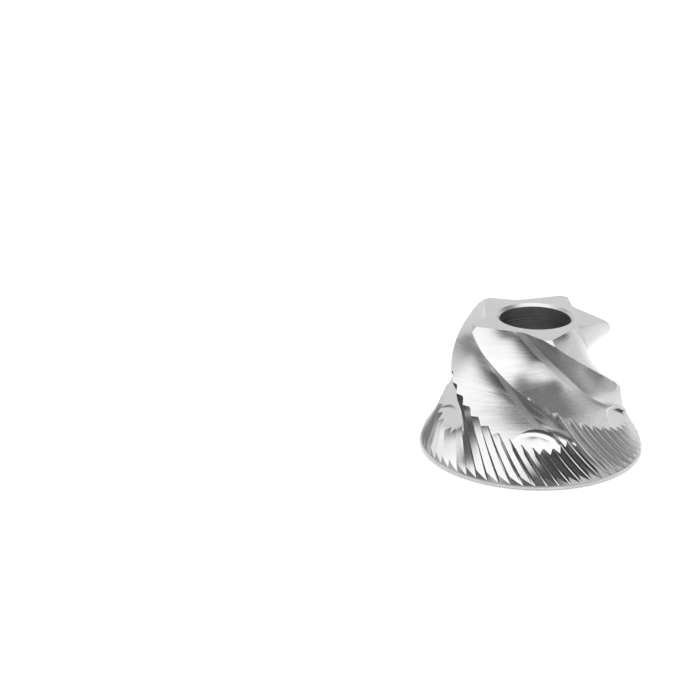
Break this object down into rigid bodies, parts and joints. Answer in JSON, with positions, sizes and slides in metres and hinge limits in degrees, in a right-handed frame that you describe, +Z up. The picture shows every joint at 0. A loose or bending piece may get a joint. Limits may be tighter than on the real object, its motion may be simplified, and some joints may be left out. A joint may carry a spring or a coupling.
{
  "type": "coffee grinder burr",
  "caption": "Inner cone burr with spiral feed flutes above a flared band of saw teeth, bored through for a drive shaft. It turns inside a ring burr to crush and grind coffee beans.",
  "frame": {"origin": "centre of the flat underside, on the bore's axis", "axes": "+Z up along the bore, from the wide toothed rim to the narrow fluted end"},
  "size_m": [0.0474, 0.0474, 0.0293],
  "materials": {
    "steel": "bright milled steel with fine cutter marks, ground satin top face and a dark turned bore"
  },
  "bodies": {
    "root": {"cone_burr": "steel"}
  },
  "joints": []
}
